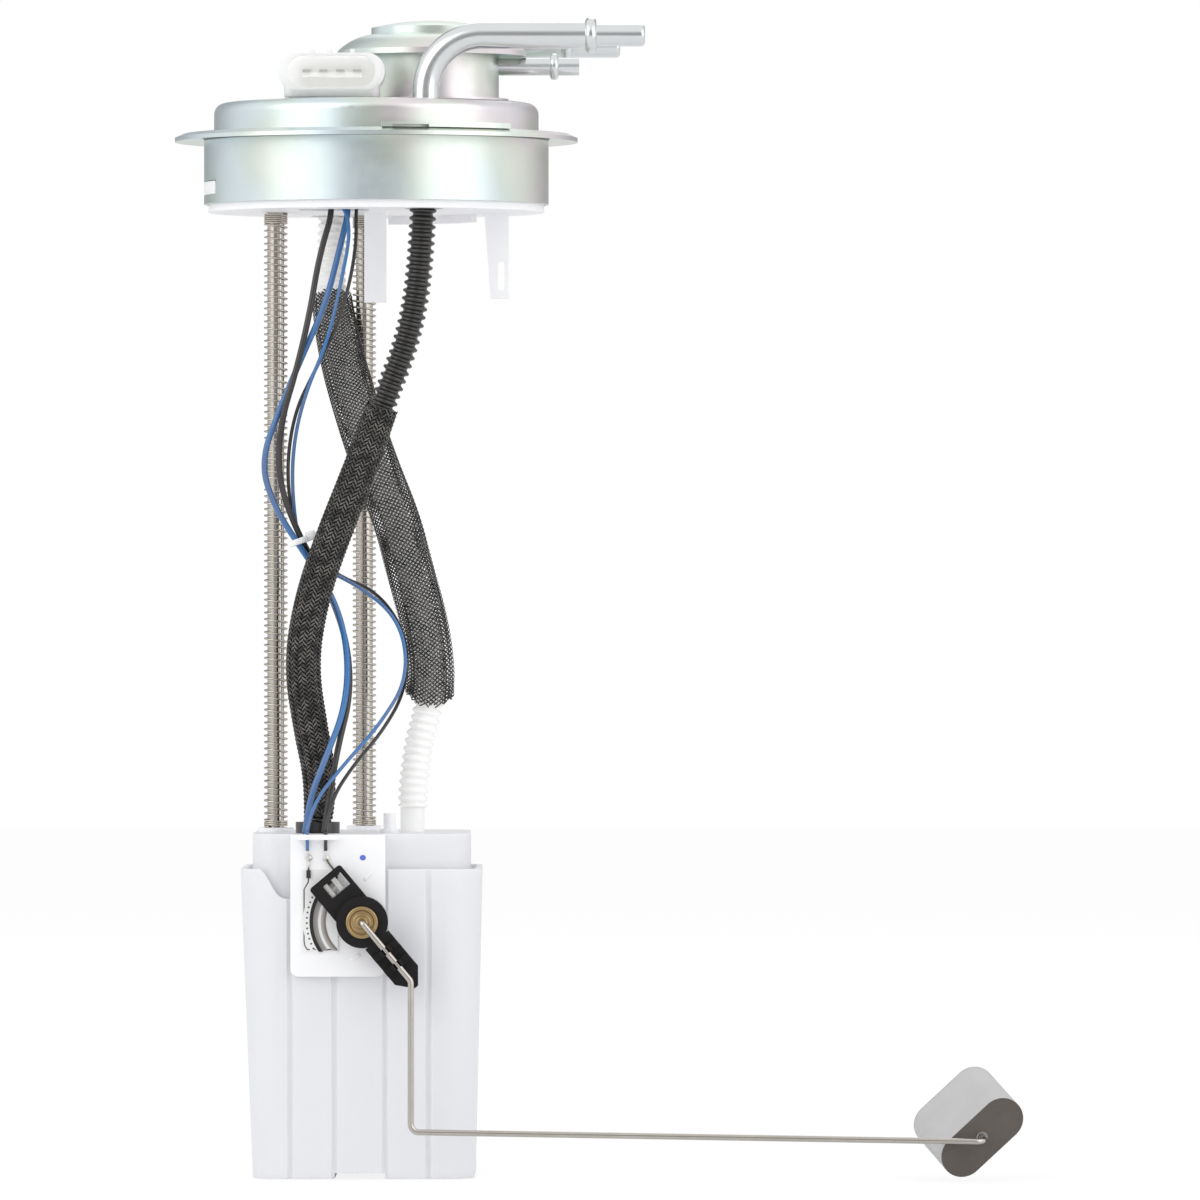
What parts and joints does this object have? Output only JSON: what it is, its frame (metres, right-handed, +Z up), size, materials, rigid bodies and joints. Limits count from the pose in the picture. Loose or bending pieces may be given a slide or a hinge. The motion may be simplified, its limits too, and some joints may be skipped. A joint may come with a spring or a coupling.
{
  "type": "fuel pump module",
  "caption": "Hanging fuel pump module: flanged steel cover with fuel tubes and connector, spring-loaded guide rods, hoses and wires, reservoir with pump, and a sender with a swinging float arm.",
  "frame": {"origin": "centre of the cover flange's flat underside, where it sits on the tank", "axes": "+Z up out of the tank, +X towards the tube ends and the float, -Y the sender side"},
  "size_m": [0.3036, 0.145, 0.4149],
  "materials": {
    "zinc_steel": "zinc plated, faintly iridescent",
    "bright_tube": "bright plated",
    "white_plastic": "satin white acetal",
    "clear_white": "translucent white",
    "natural_nylon": "natural nylon",
    "terminal_tin": "tinned",
    "nickel_steel": "nickel plated",
    "black_nylon": "satin black",
    "black_braid": "braided monofilament",
    "black_rubber": "matt",
    "black_wire": "wire insulation",
    "blue_wire": "wire insulation",
    "lead_wire": "wire insulation",
    "pump_steel": "drawn steel",
    "strainer_mesh": "woven nylon",
    "ceramic": "glazed ceramic",
    "brass": "turned brass",
    "float_rubber": "closed-cell nitrile"
  },
  "bodies": {
    "head": {"cover_plate": "zinc_steel", "skirt_cup": "zinc_steel", "vent_tower": "zinc_steel", "tower_cap": "zinc_steel", "feed_tube": "bright_tube", "return_tube": "bright_tube", "vent_tube": "bright_tube", "connector_shell": "white_plastic", "retainer": "white_plastic", "rollover_valve_body": "white_plastic", "cable_tie": "white_plastic", "rollover_valve_float": "white_plastic", "natural_hose": "natural_nylon", "connector_terminals": "terminal_tin", "left_guide_rod": "nickel_steel", "right_guide_rod": "nickel_steel", "left_rod_clip": "nickel_steel", "right_rod_clip": "nickel_steel", "left_spring": "nickel_steel", "right_spring": "nickel_steel", "rollover_valve_spring": "nickel_steel", "black_hose": "black_nylon", "black_hose_sleeve": "black_braid", "natural_hose_sleeve": "black_braid", "connector_gasket": "black_rubber", "pump_wire_black": "black_wire", "sender_wire_black": "black_wire", "pump_wire_blue": "blue_wire", "sender_wire_blue": "blue_wire"},
    "reservoir": {"reservoir_cup": "clear_white", "reservoir_lid": "white_plastic", "left_guide_bush": "natural_nylon", "right_guide_bush": "natural_nylon", "fuel_pump": "pump_steel", "pump_inlet_end": "black_nylon", "pump_outlet_end": "black_nylon", "pump_isolator": "black_rubber", "outlet_elbow": "white_plastic", "pressure_regulator": "pump_steel", "inlet_strainer": "strainer_mesh", "jet_pump": "white_plastic", "check_valve": "black_rubber", "return_spout": "white_plastic", "natural_hose_cuff": "natural_nylon", "hose_collar": "black_nylon", "vent_fitting": "white_plastic", "sender_holder": "white_plastic", "sender_card": "ceramic", "resistor_tracks": "terminal_tin", "solder_joints": "terminal_tin", "chip_resistor": "black_nylon", "sender_wire_ends": "lead_wire", "pump_wire_ends": "lead_wire"},
    "arm": {"wiper_carrier": "black_nylon", "pivot_bush": "brass", "wiper_contacts": "terminal_tin", "arm_wire": "nickel_steel", "push_nut": "nickel_steel"},
    "float": {"float": "float_rubber"}
  },
  "joints": [
    {"name": "reservoir_slide", "type": "slide", "parent": "head", "child": "reservoir", "axis": [0, 0, 1], "range_m": [0, 0.05], "stiffness_N_per_m": 150, "springref_m": -0.05, "deforming": ["left_spring", "right_spring", "black_hose", "black_hose_sleeve", "natural_hose", "natural_hose_sleeve", "pump_wire_black", "pump_wire_blue", "sender_wire_blue", "sender_wire_black", "cable_tie"]},
    {"name": "float_arm", "type": "hinge", "parent": "reservoir", "child": "arm", "pos_m": [-0.0041, -0.05, -0.2806], "axis": [0, -1, 0], "range_deg": [0, 80]},
    {"name": "float_spin", "type": "hinge", "parent": "arm", "child": "float", "pos_m": [0.2176, -0.05372, -0.3584], "axis": [-0.207, 0.9519, 0.2261], "continuous": true}
  ]
}
